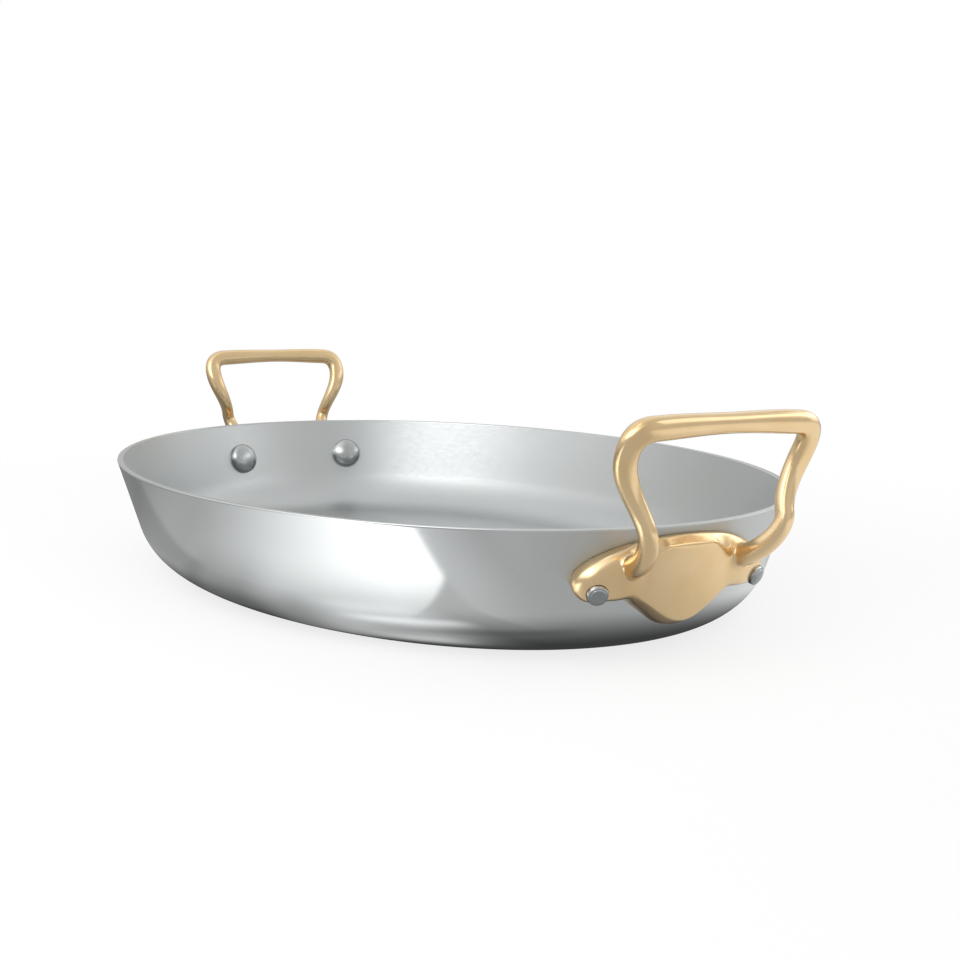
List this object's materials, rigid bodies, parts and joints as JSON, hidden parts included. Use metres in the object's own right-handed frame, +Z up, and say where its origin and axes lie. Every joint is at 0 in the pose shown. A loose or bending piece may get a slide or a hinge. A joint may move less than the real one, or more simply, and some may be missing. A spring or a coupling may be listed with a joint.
{
  "type": "oval pan",
  "caption": "Shallow oval metal pan with a flared wall, a flat base and a cast brass loop handle riveted to each end.",
  "frame": {"origin": "middle of the flat base's underside, on the surface that the pan stands on", "axes": "+X along the pan's length towards the front handle, +Y across it, +Z up out of the pan's mouth"},
  "size_m": [0.3934, 0.2658, 0.0874],
  "materials": {
    "pan_steel": "mirror polished outside, satin inside",
    "handle_brass": "cast, softly polished",
    "rivet_steel": "satin"
  },
  "bodies": {
    "root": {"pan_body": "pan_steel", "front_handle": "handle_brass", "back_handle": "handle_brass", "front_rivet_left": "rivet_steel", "front_rivet_right": "rivet_steel", "back_rivet_left": "rivet_steel", "back_rivet_right": "rivet_steel"}
  },
  "joints": []
}
